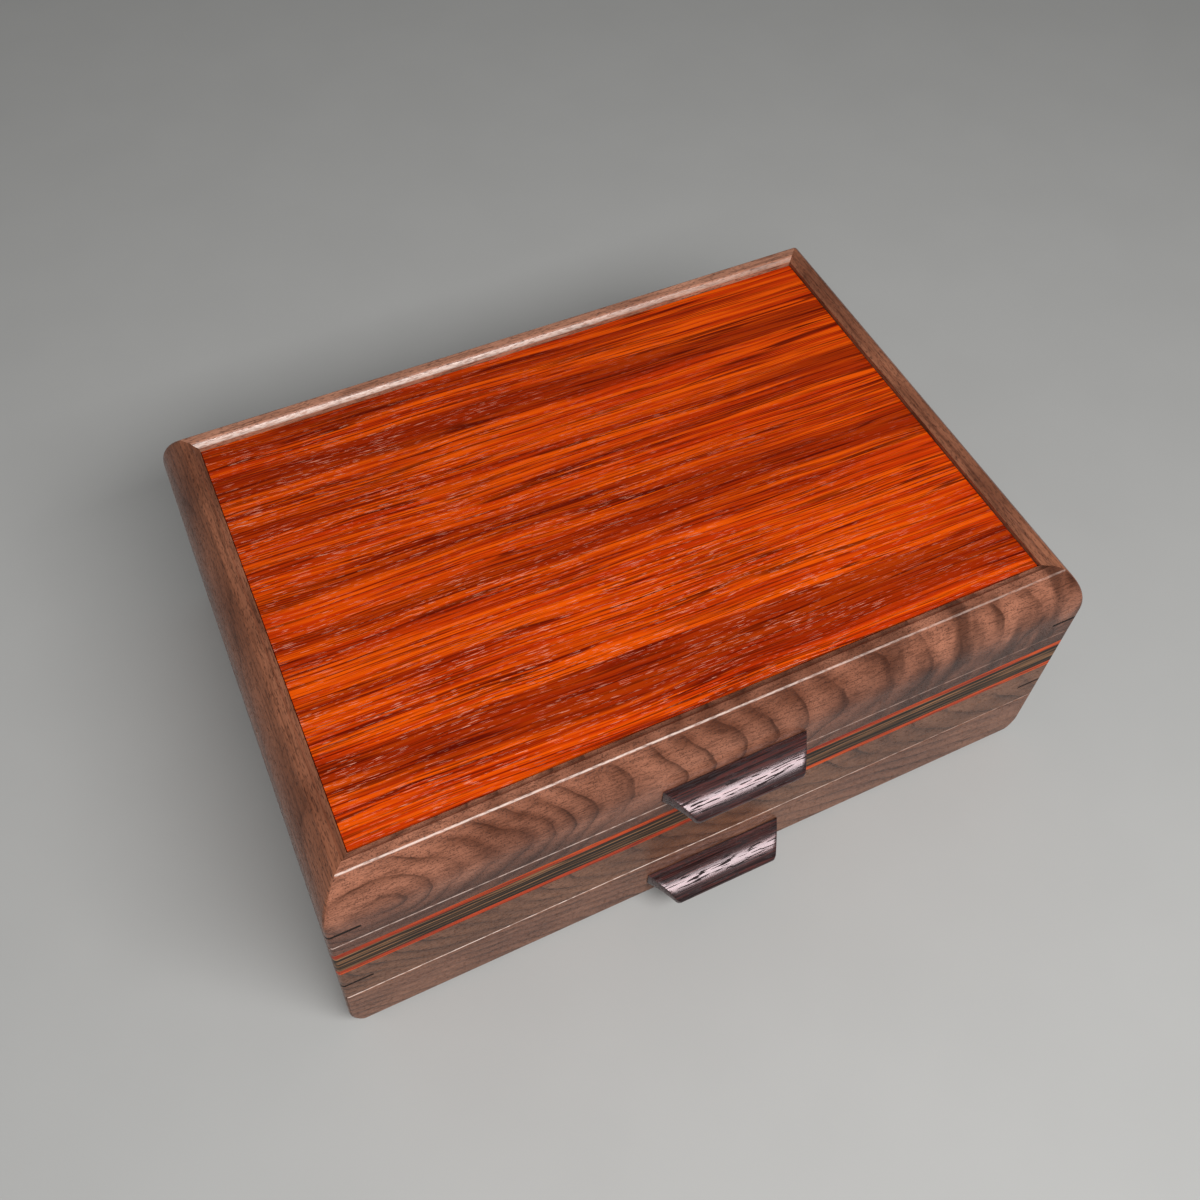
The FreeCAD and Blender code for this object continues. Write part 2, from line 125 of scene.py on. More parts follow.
class Recipe:
    """A material while its nodes are being laid out."""

    def __init__(self, name: str) -> None:
        """Start an empty material.

        Args:
            name: The material's name.
        """
        self.material = bpy.data.materials.new(name)
        self.material.use_nodes = True
        self.tree = self.material.node_tree
        self.tree.nodes.clear()
        self.output = self.tree.nodes.new("ShaderNodeOutputMaterial")

    def node(self, kind: str, inputs: dict[Union[str, int], Value], **settings: object) -> bpy.types.Node:
        """Add a node to the material."""
        return add_node(self.tree, kind, inputs, settings)

    def math(self, operation: str, *values: Value) -> Socket:
        """Return the result of a sum on up to three values."""
        return self.node("ShaderNodeMath", dict(enumerate(values)), operation=operation).outputs[0]

    def product(self, share: Value, *others: Value) -> Value:
        """Return several shares multiplied together.

        Args:
            share: The first share.
            others: The rest.

        Returns:
            The product.
        """
        for other in others:
            share = self.math("MULTIPLY", share, other)
        return share

    def apart(self, space: Socket) -> Sequence[Socket]:
        """Return the X, Y and Z of a place."""
        return self.node("ShaderNodeSeparateXYZ", {"Vector": space}).outputs

    def grain_space(self, grain: Grain) -> Socket:
        """Return the place on the piece in millimetres, with X along the board.

        Args:
            grain: The way the board runs.

        Returns:
            The vector's socket.
        """
        place = self.node("ShaderNodeTexCoord", {}).outputs["Object"]
        return self.node("ShaderNodeMapping", {
            "Vector": place,
            "Scale": (1 / MM, 1 / MM, 1 / MM),
            "Rotation": (0.0, 0.0, math.radians(grain.value)),
        }).outputs["Vector"]

    def noise(self, space: Socket, lengths: Point, detail: float = 2.0, rough: float = 0.5) -> Socket:
        """Return soft noise from 0 to 1.

        Args:
            space: The place it follows.
            lengths: The size of a patch along X, Y and Z.
            detail: How many finer layers it has.
            rough: How strong they are.

        Returns:
            The noise's socket.
        """
        scale = tuple(1 / length for length in lengths)
        steps = self.node("ShaderNodeMapping", {"Vector": space, "Scale": scale}).outputs["Vector"]
        inputs = {"Vector": steps, "Scale": 1.0, "Detail": detail, "Roughness": rough}
        return self.node("ShaderNodeTexNoise", inputs).outputs[0]

    def ramp(self, value: Value, low: float, high: float) -> Socket:
        """Return a value spread from 0 at low to 1 at high, and held there.

        Args:
            value: The value to spread.
            low: The value that becomes 0. It may be the greater of the two.
            high: The value that becomes 1.

        Returns:
            The result's socket.
        """
        inputs = {"Value": value, "From Min": low, "From Max": high}
        return self.node("ShaderNodeMapRange", inputs, interpolation_type="SMOOTHSTEP").outputs[0]

    def patches(self, space: Socket, lengths: Point, low: float, high: float,
                detail: float = 2.0) -> Socket:
        """Return soft-edged patches: noise spread from 0 at low to 1 at high.

        Args:
            space: The place they follow.
            lengths: The size of a patch along X, Y and Z.
            low: The noise where a patch begins.
            high: The noise where it is whole.
            detail: How many finer layers the noise has.

        Returns:
            The share's socket.
        """
        return self.ramp(self.noise(space, lengths, detail), low, high)

    def mixed(self, share: Value, first: Value, second: Value) -> Socket:
        """Return a colour between two, with a share of the second."""
        inputs = {MIX_SHARE: share, MIX_FIRST: first, MIX_SECOND: second}
        return self.node("ShaderNodeMix", inputs, data_type="RGBA").outputs[MIX_RESULT]

    def between(self, share: Value, first: Tint, second: Tint) -> Socket:
        """Return a colour between two tints, with a share of the second."""
        return self.mixed(share, first.linear(), second.linear())

    def laid(self, colour: Value, tint: Tint, *shares: Value) -> Socket:
        """Return a colour with a tint laid over it, by the product of the shares."""
        return self.mixed(self.product(*shares), colour, tint.linear())

    def relief(self, height: Socket, distance: float, strength: float) -> Socket:
        """Return a normal bent by a height.

        Args:
            height: The height from 0 to 1.
            distance: What a height of 1 stands for, in metres.
            strength: How much of it is used.

        Returns:
            The normal's socket.
        """
        inputs = {"Height": height, "Distance": distance, "Strength": strength}
        return self.node("ShaderNodeBump", inputs).outputs[0]

    def surface(self, **values: Value) -> bpy.types.Material:
        """Finish the material with one shader.

        Args:
            values: The shader's inputs, with spaces written as underlines.

        Returns:
            The material.
        """
        inputs = {name.replace("_", " "): value for name, value in values.items()}
        shader = self.node("ShaderNodeBsdfPrincipled", inputs)
        self.tree.links.new(shader.outputs[0], self.output.inputs["Surface"])
        return self.material


@dataclass(frozen=True)
class Figure:
    """How the growth rings meet the face of a walnut board. Lengths are in millimetres.

    The rings stand closer near the centre, and the spacing is theirs where it is measured.
    """

    centre: float = 0.0
    eye: float = 12.0
    along: float = 1.0
    upward: float = 0.0
    pith: float = 0.0
    middle: float = 100.0
    slope: float = 0.0
    twist: float = 0.0
    bulge: float = 0.0
    inward: float = 0.4
    wander: float = 26.0
    wander_size: float = 46.0
    ripple: float = 0.1
    ripple_size: float = 11.0
    spacing: float = 12.0
    measured_at: float = 100.0
    strength: float = 0.8

    def rings(self, recipe: Recipe, space: Socket) -> Socket:
        """Return where a point lies between two rings: 0 just after a ring, 1 just before the next.

        Args:
            recipe: The material in the making.
            space: The place in millimetres.

        Returns:
            The ring's socket.
        """
        x, y, z = recipe.apart(space)
        across = recipe.math("SUBTRACT", x, self.centre)
        height = recipe.math("SUBTRACT", z, self.middle)
        rise = recipe.math("MULTIPLY", height, self.upward)
        reach = recipe.math("MULTIPLY_ADD", rise, rise, self.eye ** 2)
        reach = recipe.math("SQRT", recipe.math("MULTIPLY_ADD", across, across, reach))
        slope = recipe.math("MULTIPLY_ADD", across, self.twist, self.slope)
        slope = recipe.math("MULTIPLY_ADD", height, self.bulge, slope)
        total = recipe.math("MULTIPLY_ADD", reach, self.along, self.pith)
        total = recipe.math("MULTIPLY_ADD", height, slope, total)
        total = recipe.math("MULTIPLY_ADD", y, self.inward, total)
        for size, share in ((self.wander_size, 1.0), (self.ripple_size, self.ripple)):
            drift = recipe.noise(space, (size, size, size), 1.0)
            total = recipe.math("MULTIPLY_ADD", drift, self.wander * share, total)
        total = recipe.math("SQRT", recipe.math("MAXIMUM", total, 0.5))
        per_root = 2 * math.sqrt(self.measured_at) / self.spacing
        return recipe.math("FRACT", recipe.math("MULTIPLY", total, per_root))


@dataclass(frozen=True)
class EdgeHighlight:
    """A painted highlight along a long edge, brightest at its left end. Lengths are in millimetres.

    It lies between its lowest and highest point, in front of a depth.
    """

    low: float
    high: float
    behind: float = -112.0
    strength: float = 0.6
    blur: float = 0.1
    left: float = -60.0
    right: float = 150.0

    def share(self, recipe: Recipe, space: Socket) -> Value:
        """Return how strong the painted highlight on the edge is at a place.

        Args:
            recipe: The material in the making.
            space: The place in millimetres.

        Returns:
            The share's socket.
        """
        x, y, z = recipe.apart(space)
        above = recipe.ramp(z, self.low - 2 * self.blur, self.low + self.blur)
        below = recipe.ramp(z, self.high + 2 * self.blur, self.high - self.blur)
        front = recipe.ramp(y, self.behind + self.blur, self.behind - self.blur)
        # The painted highlight is broken into patches and fades towards the right.
        patchy = recipe.patches(space, (3.0, 0.6, 0.6), 0.36, 0.56)
        patchy = recipe.math("MULTIPLY_ADD", patchy, 0.6, 0.4)
        leftward = recipe.math("MULTIPLY_ADD", recipe.ramp(x, self.right, self.left), 0.7, 0.3)
        return recipe.product(above, below, front, patchy, leftward)


@dataclass(frozen=True)
class WalnutFinish:
    """Oiled walnut with rings, fibre and open pores, and painted highlights along chosen edges. Lengths
    are in millimetres.

    Dark patches begin at a place along the board, and painted shade darkens it below a height.
    The rings end at the top edge.
    """

    figure: Figure
    light: Tint = Tint(175, 115, 90)
    ground: Tint = Tint(112, 67, 49)
    dark: Tint = Tint(44, 20, 12)
    # The colour of the painted highlights along the edges.
    highlight_tint: Tint = Tint(250, 226, 214)
    fibre_length: float = 18.0
    fibre_share: float = 0.5
    pore_length: float = 2.2
    pore_share: float = 0.6
    dark_patches_from: float = 400.0
    dark_patches_run: float = 40.0
    dark_patches_share: float = 0.7
    painted_shade_below: float = -100.0
    painted_shade_run: float = 16.0
    painted_shade_share: float = 0.56
    top_edge: float = 128.6
    top_run: float = 2.0
    gloss: float = 0.26
    polish: float = 0.15
    edge_highlights: tuple[EdgeHighlight, ...] = ()

    def ring_share(self, recipe: Recipe, space: Socket, ring: Socket) -> Value:
        """Return how dark a ring is: a soft rise, a line at its end, and none at the top edge.

        Args:
            recipe: The material in the making.
            space: The place in millimetres.
            ring: The place between two rings.

        Returns:
            The share's socket.
        """
        line = recipe.product(recipe.ramp(ring, 0.8, 0.93), recipe.ramp(ring, 1.0, 0.975))
        soft = recipe.product(recipe.math("POWER", ring, 2.0), recipe.ramp(ring, 1.0, 0.95))
        mark = recipe.math("MULTIPLY_ADD", soft, 0.46, recipe.product(line, 0.4))
        faded = recipe.patches(space, (18.0, 18.0, 18.0), 0.2, 0.72)
        below = recipe.ramp(recipe.apart(space)[2], self.top_edge, self.top_edge - self.top_run)
        return recipe.product(mark, faded, below, self.figure.strength)

    def material(self, name: str, grain: Grain) -> bpy.types.Material:
        """Make the material.

        Args:
            name: The material's name.
            grain: The way the board runs.

        Returns:
            The material.
        """
        recipe = Recipe(name)
        space = recipe.grain_space(grain)
        x, _, z = recipe.apart(space)
        ring = self.figure.rings(recipe, space)
        sheen = recipe.product(recipe.ramp(ring, 0.0, 0.3), recipe.ramp(ring, 0.85, 0.4))
        clouds = recipe.patches(space, (60.0, 40.0, 24.0), 0.32, 0.74)
        share = recipe.math("MULTIPLY_ADD", sheen, self.figure.strength * 0.35, clouds)
        colour = recipe.between(recipe.math("MINIMUM", share, 1.0), self.ground, self.light)
        colour = recipe.laid(colour, self.dark, self.ring_share(recipe, space, ring))
        # Darker patches towards the board's right end.
        dark_patches = recipe.patches(space, (11.0, 60.0, 40.0), 0.42, 0.64)
        far = recipe.ramp(x, self.dark_patches_from, self.dark_patches_from + self.dark_patches_run)
        colour = recipe.laid(colour, self.dark, dark_patches, far, self.dark_patches_share)
        # Painted shade: the board is darker below a height.
        low = recipe.ramp(z, self.painted_shade_below, self.painted_shade_below - self.painted_shade_run)
        colour = recipe.laid(colour, self.dark, low, self.painted_shade_share)
        fibre = recipe.noise(space, (self.fibre_length, 0.8, 0.8), 4.0, 0.7)
        colour = recipe.laid(colour, self.dark, recipe.ramp(fibre, 0.44, 0.66), self.fibre_share)
        pores = recipe.patches(space, (self.pore_length, 0.36, 0.36), 0.55, 0.66, detail=1.0)
        colour = recipe.laid(colour, self.dark, pores, self.pore_share)
        # Painted highlights along the chosen edges.
        for edge_highlight in self.edge_highlights:
            colour = recipe.laid(colour, self.highlight_tint, edge_highlight.share(recipe, space), edge_highlight.strength)
        height = recipe.math("SUBTRACT", recipe.product(fibre, 0.25), pores)
        rough = recipe.math("MULTIPLY_ADD", pores, 0.25, self.gloss)
        return recipe.surface(Base_Color=colour, Roughness=rough, Specular_IOR_Level=self.polish,
                              Normal=recipe.relief(height, 0.00005, 0.6))


@dataclass(frozen=True)
class PadaukFinish:
    """Orange padauk with soft dark bands, long fine streaks, thin veins and pale flecks in its pores,
    which are partly painted glints.

    Lengths are in millimetres. The streaks waver and lean a little, and the flecks, as painted glints,
    fade to the right.
    """

    bright: Tint = Tint(236, 88, 2)
    ground: Tint = Tint(196, 52, 1)
    band_tint: Tint = Tint(136, 32, 0)
    dark: Tint = Tint(80, 4, 0)
    fleck_glint: Tint = Tint(250, 174, 146)
    band: float = 17.0
    band_share: float = 0.72
    streak: float = 2.2
    waver: float = 5.0
    lean: float = 0.02
    thread_share: float = 0.72
    vein_share: float = 0.8
    fleck_glint_share: float = 0.7
    gloss: float = 0.34
    polish: float = 0.09

    def material(self, name: str, grain: Grain) -> bpy.types.Material:
        """Make the material.

        Args:
            name: The material's name.
            grain: The way the board runs.

        Returns:
            The material.
        """
        recipe = Recipe(name)
        straight = recipe.grain_space(grain)
        x, y, z = recipe.apart(straight)
        drift = recipe.noise(straight, (90.0, 30.0, 30.0), 2.0, 0.45)
        moved = recipe.math("MULTIPLY_ADD", x, self.lean, y)
        moved = recipe.math("MULTIPLY_ADD", drift, self.waver, moved)
        space = recipe.node("ShaderNodeCombineXYZ", {"X": x, "Y": moved, "Z": z}).outputs[0]
        streaks = recipe.noise(space, (110.0, self.streak, self.streak), 4.0, 0.62)
        colour = recipe.between(recipe.ramp(streaks, 0.4, 0.62), self.ground, self.bright)
        bands = recipe.noise(space, (420.0, self.band, self.band), 1.0)
        bands = recipe.math("MULTIPLY_ADD", streaks, 0.35, bands)
        colour = recipe.laid(colour, self.band_tint, recipe.ramp(bands, 0.68, 0.53), self.band_share)
        threads = recipe.noise(space, (60.0, 0.7, 0.7), 3.0, 0.6)
        colour = recipe.laid(colour, self.dark, recipe.ramp(threads, 0.48, 0.62), self.thread_share)
        from_vein = recipe.math("SUBTRACT", recipe.noise(space, (190.0, 4.0, 4.0)), 0.5)
        vein = recipe.ramp(recipe.math("ABSOLUTE", from_vein), 0.03, 0.008)
        broken = recipe.patches(space, (60.0, 6.0, 6.0), 0.42, 0.56, detail=1.0)
        colour = recipe.laid(colour, self.dark, vein, broken, self.vein_share)
        # Pale pore flecks, partly painted glints, that fade towards the right.
        pores = recipe.patches(space, (6.0, 0.26, 0.26), 0.64, 0.7, detail=1.0)
        clusters = recipe.patches(space, (40.0, 9.0, 9.0), 0.25, 0.65)
        leftward = recipe.ramp(recipe.math("MULTIPLY_ADD", y, 0.8, x), 190.0, -60.0)
        colour = recipe.laid(colour, self.fleck_glint, pores, clusters, self.fleck_glint_share, leftward)
        height = recipe.math("SUBTRACT", recipe.product(threads, 0.3), pores)
        rough = recipe.math("MULTIPLY_ADD", pores, 0.2, self.gloss)
        return recipe.surface(Base_Color=colour, Roughness=rough, Specular_IOR_Level=self.polish,
                              Normal=recipe.relief(height, 0.00005, 0.5))


@dataclass(frozen=True)
class StreakedFinish:
    """Olive and tan wood with near-black lines that waver along it. Lengths are in millimetres."""

    ground: Tint = Tint(86, 58, 34)
    pale: Tint = Tint(170, 120, 80)
    line: Tint = Tint(12, 6, 3)
    pitch: float = 2.9
    bend: float = 7.0
    line_share: float = 0.92
    thread_share: float = 0.5
    gloss: float = 0.38
    polish: float = 0.08

    def material(self, name: str, grain: Grain) -> bpy.types.Material:
        """Make the material.

        Args:
            name: The material's name.
            grain: The way the board runs.

        Returns:
            The material.
        """
        recipe = Recipe(name)
        space = recipe.grain_space(grain)
        wide = recipe.patches(space, (120.0, 3.2, 3.2), 0.42, 0.62)
        colour = recipe.between(wide, self.ground, self.pale)
        drift = recipe.noise(space, (90.0, 9.0, 9.0))
        height = recipe.math("MULTIPLY_ADD", drift, self.bend, recipe.apart(space)[2])
        lines = recipe.math("PINGPONG", recipe.math("DIVIDE", height, self.pitch), 0.5)
        broken = recipe.patches(space, (60.0, 2.6, 2.6), 0.34, 0.46)
        colour = recipe.laid(colour, self.line, recipe.ramp(lines, 0.42, 0.32), broken, self.line_share)
        threads = recipe.noise(space, (20.0, 0.5, 0.5), 2.0, 0.6)
        colour = recipe.laid(colour, self.line, recipe.ramp(threads, 0.48, 0.7), self.thread_share)
        return recipe.surface(Base_Color=colour, Roughness=self.gloss, Specular_IOR_Level=self.polish,
                              Normal=recipe.relief(threads, 0.00003, 0.4))


@dataclass(frozen=True)
class WengeFinish:
    """Very dark wood with purple-brown threads and black pores, rubbed to a gloss."""

    ground: Tint = Tint(26, 9, 9)
    thread: Tint = Tint(82, 42, 38)
    pore: Tint = Tint(14, 5, 6)
    sheen: Tint = Tint(255, 232, 236)
    band_share: float = 0.7
    pore_share: float = 0.95
    gloss: float = 0.2
    polish: float = 0.95

    def material(self, name: str, grain: Grain) -> bpy.types.Material:
        """Make the material.

        Args:
            name: The material's name.
            grain: The way the board runs.

        Returns:
            The material.
        """
        recipe = Recipe(name)
        space = recipe.grain_space(grain)
        threads = recipe.noise(space, (40.0, 0.5, 0.5), 3.0, 0.6)
        colour = recipe.between(recipe.ramp(threads, 0.42, 0.6), self.ground, self.thread)
        bands = recipe.patches(space, (60.0, 1.3, 1.3), 0.55, 0.38)
        colour = recipe.laid(colour, self.pore, bands, self.band_share)
        pores = recipe.patches(space, (8.0, 0.6, 0.6), 0.57, 0.6, detail=1.0)
        colour = recipe.laid(colour, self.pore, pores, self.pore_share)
        rough = recipe.math("MULTIPLY_ADD", pores, 0.7, self.gloss)
        return recipe.surface(Base_Color=colour, Roughness=rough, Specular_IOR_Level=self.polish,
                              Specular_Tint=self.sheen.linear(),
                              Normal=recipe.relief(threads, 0.00003, 0.5))


@dataclass(frozen=True)
class PlainWoodFinish:
    """A close-grained wood: the keys, the drawer's inside boards and the sheets."""

    ground: Tint
    streak: Tint
    pitch: float = 2.6
    thread_share: float = 0.5
    pore_share: float = 0.35
    gloss: float = 0.5
    polish: float = 0.3

    def material(self, name: str, grain: Grain) -> bpy.types.Material:
        """Make the material.

        Args:
            name: The material's name.
            grain: The way the board runs.

        Returns:
            The material.
        """
        recipe = Recipe(name)
        space = recipe.grain_space(grain)
        bands = recipe.patches(space, (90.0, self.pitch * 2, self.pitch * 2), 0.4, 0.68, detail=3.0)
        colour = recipe.between(bands, self.ground, self.streak)
        threads = recipe.noise(space, (24.0, 0.6, 0.6), 2.0, 0.6)
        colour = recipe.laid(colour, self.streak, recipe.ramp(threads, 0.5, 0.74), self.thread_share)
        pores = recipe.patches(space, (1.6, 0.3, 0.3), 0.62, 0.7, detail=1.0)
        colour = recipe.laid(colour, self.streak, pores, self.pore_share)
        rough = recipe.math("MULTIPLY_ADD", pores, 0.15, self.gloss)
        return recipe.surface(Base_Color=colour, Roughness=rough, Specular_IOR_Level=self.polish,
                              Normal=recipe.relief(threads, 0.00004, 0.5))


@dataclass(frozen=True)
class SuedeFinish:
    """A short brushed nap that darkens and lightens in patches."""

    ground: Tint = Tint(52, 38, 34)
    brushed: Tint = Tint(82, 62, 54)

    def material(self, name: str) -> bpy.types.Material:
        """Make the material.

        Args:
            name: The material's name.

        Returns:
            The material.
        """
        recipe = Recipe(name)
        space = recipe.grain_space(Grain.ALONG_WIDTH)
        strokes = recipe.noise(space, (30.0, 11.0, 20.0), 2.0, 0.45)
        nap = recipe.noise(space, (0.5, 0.5, 0.5), 3.0, 0.7)
        share = recipe.math("MULTIPLY_ADD", nap, 0.8, recipe.product(strokes, 0.35))
        colour = recipe.between(recipe.ramp(share, 0.36, 0.84), self.ground, self.brushed)
        return recipe.surface(Base_Color=colour, Roughness=0.95, Sheen_Weight=0.5, Sheen_Roughness=0.5,
                              Sheen_Tint=self.brushed.linear(), Specular_IOR_Level=0.2,
                              Normal=recipe.relief(nap, 0.0002, 0.6))


@dataclass(frozen=True)
class BrassFinish:
    """Satin brass, drawn in one direction and a little dulled."""

    bright: Tint = Tint(206, 170, 106)
    dull: Tint = Tint(176, 138, 82)
    dull_share: float = 0.6
    gloss: float = 0.26

    def material(self, name: str) -> bpy.types.Material:
        """Make the material.

        Args:
            name: The material's name.

        Returns:
            The material.
        """
        recipe = Recipe(name)
        space = recipe.grain_space(Grain.ALONG_WIDTH)
        dulled = recipe.patches(space, (7.0, 5.0, 5.0), 0.4, 0.75, detail=3.0)
        drawn = recipe.noise(space, (9.0, 0.2, 0.2))
        colour = recipe.between(recipe.product(dulled, self.dull_share), self.bright, self.dull)
        rough = recipe.math("MULTIPLY_ADD", drawn, 0.12, self.gloss)
        rough = recipe.math("MULTIPLY_ADD", dulled, 0.08, rough)
        return recipe.surface(Base_Color=colour, Metallic=1.0, Roughness=rough,
                              Normal=recipe.relief(drawn, 0.000004, 0.3))


class Workshop:
    """Keeps each finish's material, so that a board and its neighbour share one."""

    LID_FIGURE = Figure(centre=-146.0, eye=12.0, upward=0.8, middle=111.0, slope=0.1, twist=-0.001,
                        bulge=0.028, inward=0.2, wander=36.0, ripple=0.12, pith=45.0, spacing=11.5,
                        strength=0.85)
    SIDE_FIGURE = Figure(centre=20.0, eye=30.0, along=0.12, pith=90.0, middle=108.0, slope=0.9,
                         inward=0.5, wander=20.0, spacing=6.0, strength=0.5)
    LOWER_FIGURE = Figure(centre=-330.0, middle=49.0, slope=1.2, bulge=-0.03, inward=0.3, wander=30.0,
                          spacing=8.0, strength=0.95)
    DRAWER_FIGURE = Figure(centre=-330.0, middle=18.0, slope=3.0, bulge=0.03, inward=0.3, wander=34.0,
                           spacing=12.0, strength=0.9)
    # Painted highlights along the lid's top front edge, the strip's top edge, the back rail's cove and the
    # drawer front's top edge.
    LID_HIGHLIGHT = EdgeHighlight(128.05, 128.4, -105.5, 0.7)
    STRIP_HIGHLIGHT = EdgeHighlight(89.85, 90.1, strength=0.5)
    COVE_HIGHLIGHT = EdgeHighlight(126.75, 128.1, 101.3, 0.75)
    DRAWER_HIGHLIGHT = EdgeHighlight(34.9, 35.5, strength=0.85)

    def __init__(self) -> None:
        """Make every material of the box."""
        self.walnut()
        self.layers()
        self.small_parts()

    def walnut(self) -> None:
        """Make the walnut boards' materials."""
        width, depth = Grain.ALONG_WIDTH, Grain.ALONG_DEPTH
        # The lid's walnut has painted shade below a height and painted highlights along the lid's top
        # front edge and the strip's top edge.
        lid = WalnutFinish(self.LID_FIGURE, fibre_length=5.0, pore_length=0.7, dark_patches_from=45.0,
                           painted_shade_below=108.0, edge_highlights=(self.LID_HIGHLIGHT, self.STRIP_HIGHLIGHT))
        side = WalnutFinish(self.SIDE_FIGURE, light=Tint(156, 100, 74), ground=Tint(116, 70, 50),
                            polish=0.2)
        # The back walnut is a lighter copy of the side walnut as painted highlight, with a painted
        # highlight in the back rail's cove.
        back = WalnutFinish(self.SIDE_FIGURE, light=Tint(208, 148, 120), ground=Tint(168, 114, 90),
                            polish=0.4, edge_highlights=(self.COVE_HIGHLIGHT,))
        lower = WalnutFinish(self.LOWER_FIGURE, light=Tint(142, 95, 69), ground=Tint(110, 70, 49),
                             pore_length=1.6)
        # The drawer front's walnut has a painted highlight along its top edge.
        front = WalnutFinish(self.DRAWER_FIGURE, light=Tint(154, 105, 81), ground=Tint(124, 80, 61),
                             pore_length=1.6, edge_highlights=(self.DRAWER_HIGHLIGHT,))
        self.lid_front = lid.material("walnut_figured_front", width)
        self.back = back.material("walnut_back_painted_highlight", width)
        self.side = side.material("walnut_sides", depth)
        self.lower_front = lower.material("walnut_lower_front", width)
        self.lower_side = lower.material("walnut_lower_sides", depth)
        self.drawer_front = front.material("walnut_drawer_front", width)

    def layers(self) -> None:
        """Make the materials of the padauk lines, the core and the padauk panel."""
        line = PadaukFinish(bright=Tint(218, 86, 26), ground=Tint(190, 60, 20),
                            band_tint=Tint(146, 36, 14), dark=Tint(104, 24, 10), band=30.0,
                            fleck_glint_share=0.2, polish=0.05)
        self.line_width = line.material("padauk_line", Grain.ALONG_WIDTH)
        self.line_depth = line.material("padauk_line_sides", Grain.ALONG_DEPTH)
        self.panel = PadaukFinish().material("padauk_panel", Grain.ALONG_WIDTH)
        self.core_width = StreakedFinish().material("streaked_core", Grain.ALONG_WIDTH)
        self.core_depth = StreakedFinish().material("streaked_core_sides", Grain.ALONG_DEPTH)

    def small_parts(self) -> None:
        """Make the materials of the pulls, keys, pale boards, sheets, linings and brass."""
        width, depth = Grain.ALONG_WIDTH, Grain.ALONG_DEPTH
        self.wenge = WengeFinish().material("wenge_pulls", width)
        key = PlainWoodFinish(Tint(44, 22, 14), Tint(20, 8, 4), polish=0.08)
        self.key = key.material("dark_keys", width)
        pale = PlainWoodFinish(Tint(206, 176, 136), Tint(172, 136, 98))
        self.pale_width = pale.material("maple_boards", width)
        self.pale_depth = pale.material("maple_sides", depth)
        sheet = PlainWoodFinish(Tint(196, 164, 122), Tint(160, 124, 84), pitch=7.0, gloss=0.55)
        self.sheet = sheet.material("birch_sheet", width)
        self.suede = SuedeFinish().material("suede")
        self.brass = BrassFinish().material("satin_brass")


def finish_node(name: str, material: bpy.types.Material) -> None:
    """Give a CAD node its material.

    Args:
        name: The node's name.
        material: The material.
    """
    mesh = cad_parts[name].data
    mesh.materials.clear()
    mesh.materials.append(material)
    log.info("dressed %s with %s", name, material.name)


def solid_from(name: str, bm: bmesh.types.BMesh, material: bpy.types.Material) -> bpy.types.Object:
    """Turn a closed mesh into an object with outward faces.

    Args:
        name: The piece's name.
        bm: The mesh in metres, which is freed.
        material: The material.

    Returns:
        The object.
    """
    bmesh.ops.remove_doubles(bm, verts=bm.verts, dist=1e-7)
    bmesh.ops.recalc_face_normals(bm, faces=bm.faces)
    mesh = bpy.data.meshes.new(name)
    bm.to_mesh(mesh)
    bm.free()
    mesh.materials.append(material)
    piece = bpy.data.objects.new(name, mesh)
    bpy.context.scene.collection.objects.link(piece)
    return piece


def place(piece: bpy.types.Object, body: Body, slot: Slot, *nodes: str) -> None:
    """Put a finished piece on its body in place of its CAD nodes.

    Args:
        piece: The piece.
        body: The body it rides on.
        slot: A material slot; not used.
        nodes: The CAD nodes it stands for.
    """
    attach(piece, body.value)
    if nodes:
        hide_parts(*nodes)
    log.info("made %s: %d faces on %s", piece.name, len(piece.data.polygons), body.value)


